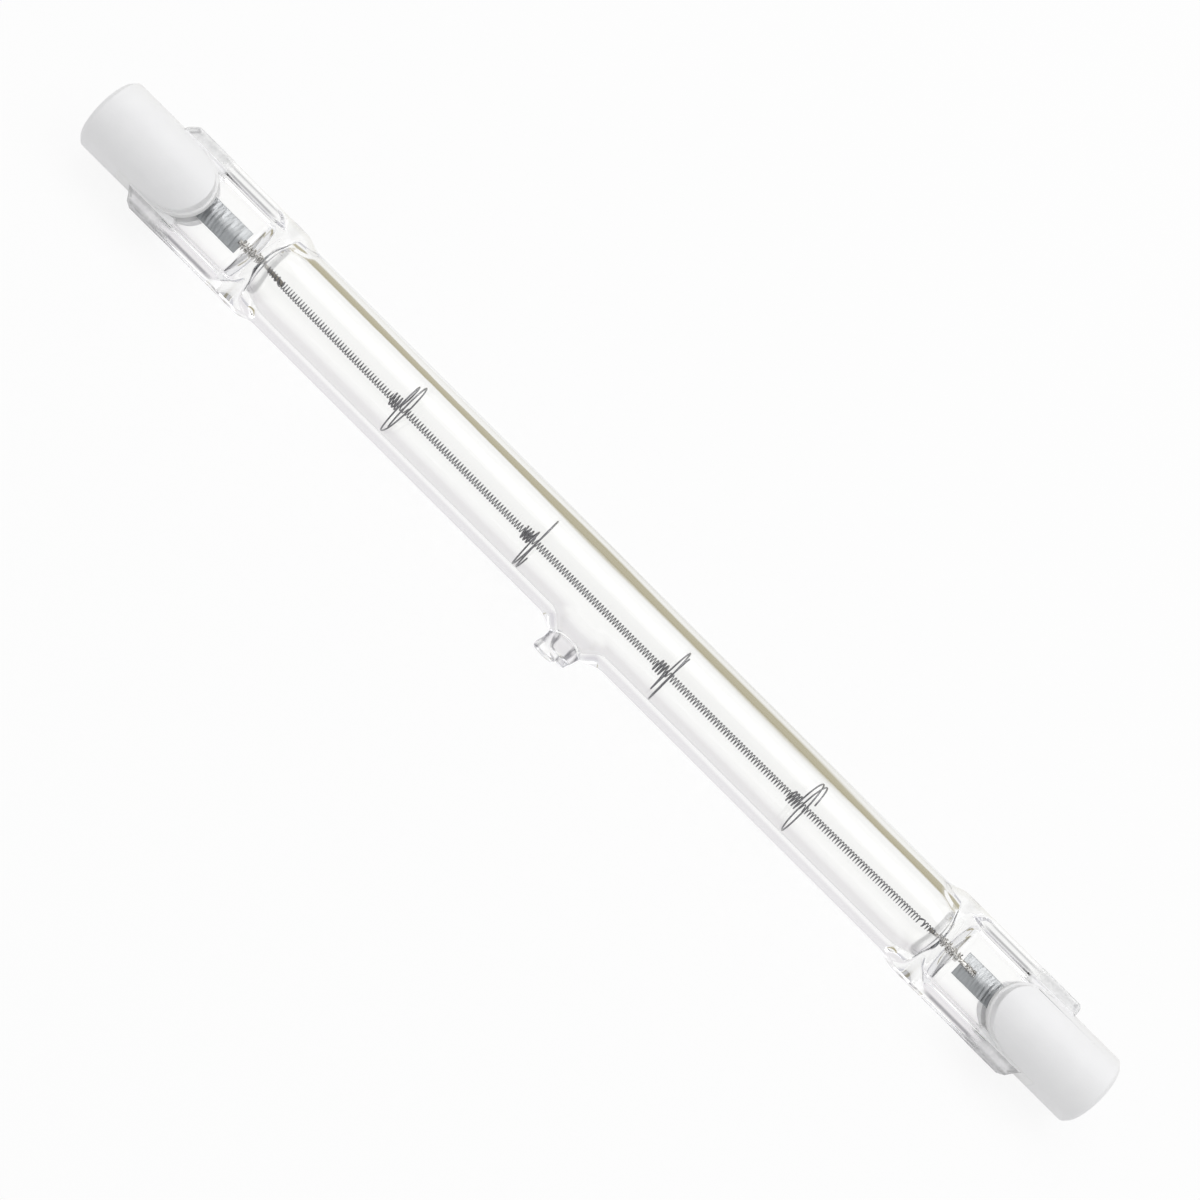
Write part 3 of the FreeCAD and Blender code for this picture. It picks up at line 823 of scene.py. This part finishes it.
# Cement film. Thinned paste that ran out over the glass rims beside the cheeks and dried
# there as a milky coat, patchy and too thin to hide the glass. It lies thick and white
# only in the groove along each cheek.
film_start = 47.6
fade_span = (47.6, 49.6)
film_thickness = 0.03
film_sunk = 0.02
film_rows = 40
groove_start = (47.6, 48.2)
groove_inner = (2.6, 2.9)
groove_outer = (3.3, 3.45)
groove_cover = 3.0
milky, tree = new_material("dried_cement_film")
place = add(tree, "ShaderNodeTexCoord")
patches = add(
    tree, "ShaderNodeTexNoise", {"Scale": 1 / (0.9 * MM), "Detail": 4.0},
    {"Vector": place.outputs["Object"]})
fade = add(tree, "ShaderNodeAttribute", attribute_name="film_fade")
patchy = add(
    tree, "ShaderNodeMapRange", {1: 0.3, 2: 0.7, 3: 0.35, 4: 0.6}, {0: patches.outputs["Fac"]})
cover = add(
    tree, "ShaderNodeMath", links={0: patchy.outputs[0], 1: fade.outputs["Fac"]},
    operation="MULTIPLY")
coat = add(tree, "ShaderNodeBsdfPrincipled", {"Base Color": srgb("#FCFCFD"), "Roughness": 0.8})
bare = add(tree, "ShaderNodeBsdfTransparent")
layer = add(
    tree, "ShaderNodeMixShader",
    links={0: cover.outputs[0], 1: bare.outputs["BSDF"], 2: coat.outputs["BSDF"]})
add(tree, "ShaderNodeOutputMaterial", links={"Surface": layer.outputs["Shader"]})
for side, name in ((-1, "left"), (1, "right")):
    along = np.linspace(film_start, seal_end - end_rounding, film_rows)
    loop = side * np.concatenate([along, along[::-1]])[:, None]
    y, z = glass_outside(loop, ring_angles[None, :])
    lift = np.repeat([film_thickness, -film_sunk], film_rows)[:, None]
    y = y + lift * np.sign(y) * np.clip(np.abs(y) - 3.5, 0, 1)
    z = z + lift * np.sign(z) * np.clip(np.abs(z) / 0.5, 0, 1)
    groove = ease(np.abs(y), groove_inner) * (1 - ease(np.abs(y), groove_outer))
    groove = groove * ease(np.abs(z), (1.0, 1.1)) * (lift > 0) * ease(np.abs(loop), groove_start)
    z = z + groove * np.sign(z) * np.maximum(half_rim - 0.05 - np.abs(z), 0)
    faces = grid_faces(len(loop), columns, looped=True)
    if side < 0:
        faces = faces[:, ::-1]
    film = piece(f"cement_film_{name}", laid(loop, y, z), faces.tolist())
    thin = ease(np.abs(loop), fade_span) * (lift > 0)
    note(film, "film_fade", np.maximum(thin, groove_cover * groove))
    film.data.materials.append(milky)

# Floor, light and camera. A plain white table under one broad soft lamp and an even sky.
# Past the table the room is darker and warm, which only the glass shows, along its edge.
# The glass alone also shows a faint painted shadow: a strip of the table under the lamp is
# painted greyer.
floor_z = cad_box[0].z
reach = 3.0
floor_mesh = bpy.data.meshes.new("floor")
floor_corners = [(-reach, -reach), (reach, -reach), (reach, reach), (-reach, reach)]
floor_mesh.from_pydata([(x, y, floor_z) for x, y in floor_corners], [], [(0, 1, 2, 3)])
floor = bpy.data.objects.new("floor", floor_mesh)
bpy.context.scene.collection.objects.link(floor)

room_tone = srgb("#ADA585")
table_end = (-3 * MM, 5 * MM)
table_wave_size = 30
table_wave = 0.03
shade_start = (-4.4 * MM, -3.4 * MM)
shade_stop = (-1.4 * MM, 0.2 * MM)
background_share = 0.88
white, tree = new_material("white_table")
matte = add(tree, "ShaderNodeBsdfDiffuse", {"Color": srgb("#F4F4F4")})
path = add(tree, "ShaderNodeLightPath")
by_glass = add(
    tree, "ShaderNodeMath",
    links={0: path.outputs["Is Glossy Ray"], 1: path.outputs["Is Transmission Ray"]},
    operation="MAXIMUM")
seen = add(
    tree, "ShaderNodeMath", links={0: path.outputs["Is Camera Ray"], 1: by_glass.outputs[0]},
    operation="MAXIMUM")
where = add(tree, "ShaderNodeNewGeometry")
across = add(tree, "ShaderNodeSeparateXYZ", links={0: where.outputs["Position"]})
uneven = add(
    tree, "ShaderNodeTexNoise", {"Scale": 1 / (table_wave_size * MM), "Detail": 1.0},
    {"Vector": where.outputs["Position"]})
table_edge = add(
    tree, "ShaderNodeMath", {1: table_wave}, {0: uneven.outputs["Fac"]}, operation="MULTIPLY")
past_edge = add(
    tree, "ShaderNodeMath", links={0: across.outputs["Y"], 1: table_edge.outputs[0]},
    operation="SUBTRACT")
beyond = add(
    tree, "ShaderNodeMapRange", {1: table_end[0], 2: table_end[1], 3: 0.0, 4: 1.0},
    {0: past_edge.outputs[0]}, interpolation_type="SMOOTHSTEP")
in_glass = add(
    tree, "ShaderNodeMath", links={0: beyond.outputs[0], 1: by_glass.outputs[0]},
    operation="MULTIPLY")
# Painted shadow: for rays through glass, the table is painted #ECEAED between shade_start and
# shade_stop, under the lamp.
under = add(
    tree, "ShaderNodeMapRange", {1: shade_start[0], 2: shade_start[1], 3: 0.0, 4: 1.0},
    {0: across.outputs["Y"]}, interpolation_type="SMOOTHSTEP")
near = add(
    tree, "ShaderNodeMapRange", {1: shade_stop[0], 2: shade_stop[1], 3: 1.0, 4: 0.0},
    {0: across.outputs["Y"]}, interpolation_type="SMOOTHSTEP")
painted_shadow = add(
    tree, "ShaderNodeMath", links={0: under.outputs[0], 1: near.outputs[0]},
    operation="MULTIPLY")
painted_shadow = add(
    tree, "ShaderNodeMath", links={0: painted_shadow.outputs[0], 1: by_glass.outputs[0]},
    operation="MULTIPLY")
table = add(
    tree, "ShaderNodeMix", {6: srgb("#FFFFFF"), 7: srgb("#ECEAED")}, {0: painted_shadow.outputs[0]},
    data_type="RGBA")
tone = add(
    tree, "ShaderNodeMix", {7: room_tone}, {0: in_glass.outputs[0], 6: table.outputs[2]},
    data_type="RGBA")
glow = add(tree, "ShaderNodeEmission", {"Strength": 1.0}, {"Color": tone.outputs[2]})
share = add(
    tree, "ShaderNodeMath", {1: background_share}, {0: seen.outputs[0]}, operation="MULTIPLY")
mixed = add(
    tree, "ShaderNodeMixShader",
    links={0: share.outputs[0], 1: matte.outputs["BSDF"], 2: glow.outputs["Emission"]})
add(tree, "ShaderNodeOutputMaterial", links={"Surface": mixed.outputs["Shader"]})
floor.data.materials.append(white)

# The sky is white where it is seen, in the background or in glass and metal, and weaker
# where it only lights the lamp. Low down past the table it has the room's tone.
sky_light = 0.62
world = bpy.data.worlds.new("even_sky")
bpy.context.scene.world = world
world.use_nodes = True
tree = world.node_tree
tree.nodes.clear()
path = add(tree, "ShaderNodeLightPath")
seen = add(
    tree, "ShaderNodeMath",
    links={0: path.outputs["Is Camera Ray"], 1: path.outputs["Is Glossy Ray"]},
    operation="MAXIMUM")
seen = add(
    tree, "ShaderNodeMath", links={0: seen.outputs[0], 1: path.outputs["Is Transmission Ray"]},
    operation="MAXIMUM")
strength = add(
    tree, "ShaderNodeMix", {2: sky_light, 3: 1.0}, {0: seen.outputs[0]}, data_type="FLOAT")
direction = add(tree, "ShaderNodeTexCoord")
parts = add(tree, "ShaderNodeSeparateXYZ", links={0: direction.outputs["Generated"]})
low = add(
    tree, "ShaderNodeMapRange", {1: 0.08, 2: 0.2, 3: 1.0, 4: 0.0}, {0: parts.outputs["Z"]},
    interpolation_type="SMOOTHSTEP")
far_side = add(
    tree, "ShaderNodeMapRange", {1: 0.2, 2: 0.5, 3: 0.0, 4: 1.0}, {0: parts.outputs["Y"]},
    interpolation_type="SMOOTHSTEP")
low_far = add(
    tree, "ShaderNodeMath", links={0: low.outputs[0], 1: far_side.outputs[0]},
    operation="MULTIPLY")
tone = add(
    tree, "ShaderNodeMix", {6: srgb("#FFFFFF"), 7: room_tone}, {0: low_far.outputs[0]},
    data_type="RGBA")
sky = add(
    tree, "ShaderNodeBackground",
    links={"Color": tone.outputs[2], "Strength": strength.outputs[0]})
add(tree, "ShaderNodeOutputWorld", links={"Surface": sky.outputs["Background"]})

lamp_data = bpy.data.lights.new("soft_panel", "AREA")
lamp_data.shape = "RECTANGLE"
lamp_data.size = 0.9
lamp_data.size_y = 0.35
lamp_data.energy = 1.5
lamp = bpy.data.objects.new("soft_panel", lamp_data)
lamp.location = (0.05, 0.2, 0.5)
lamp.rotation_euler = (-lamp.location).to_track_quat("-Z", "Y").to_euler()
bpy.context.scene.collection.objects.link(lamp)

# The camera looks down at the lamp from its near side, turned about its own line of sight
# so that the lamp's axis runs across the picture at axis_slope.
camera_distance = 0.2
view_angle = 28.5
camera_roll = np.radians(9.0)
axis_slope = np.radians(44.93)
tilt = rest_roll + camera_roll
back = Vector((0, -np.sin(tilt), np.cos(tilt)))
down = Vector((0, -np.cos(tilt), -np.sin(tilt)))
along = Vector((1, 0, 0))
right = along * np.cos(axis_slope) - down * np.sin(axis_slope)
up = -along * np.sin(axis_slope) - down * np.cos(axis_slope)
stand = back * camera_distance - right * 0.02 * MM + up * 0.17 * MM
camera_data = bpy.data.cameras.new("camera")
camera_data.sensor_width = 36.0
camera_data.lens = camera_data.sensor_width / 2 / np.tan(np.radians(view_angle / 2))
camera_data.clip_start = 0.01
camera = bpy.data.objects.new("camera", camera_data)
camera.matrix_world = Matrix((
    (right.x, up.x, back.x, stand.x),
    (right.y, up.y, back.y, stand.y),
    (right.z, up.z, back.z, stand.z),
    (0, 0, 0, 1)))
bpy.context.scene.collection.objects.link(camera)
bpy.context.scene.camera = camera
bpy.context.scene.view_settings.view_transform = "Standard"
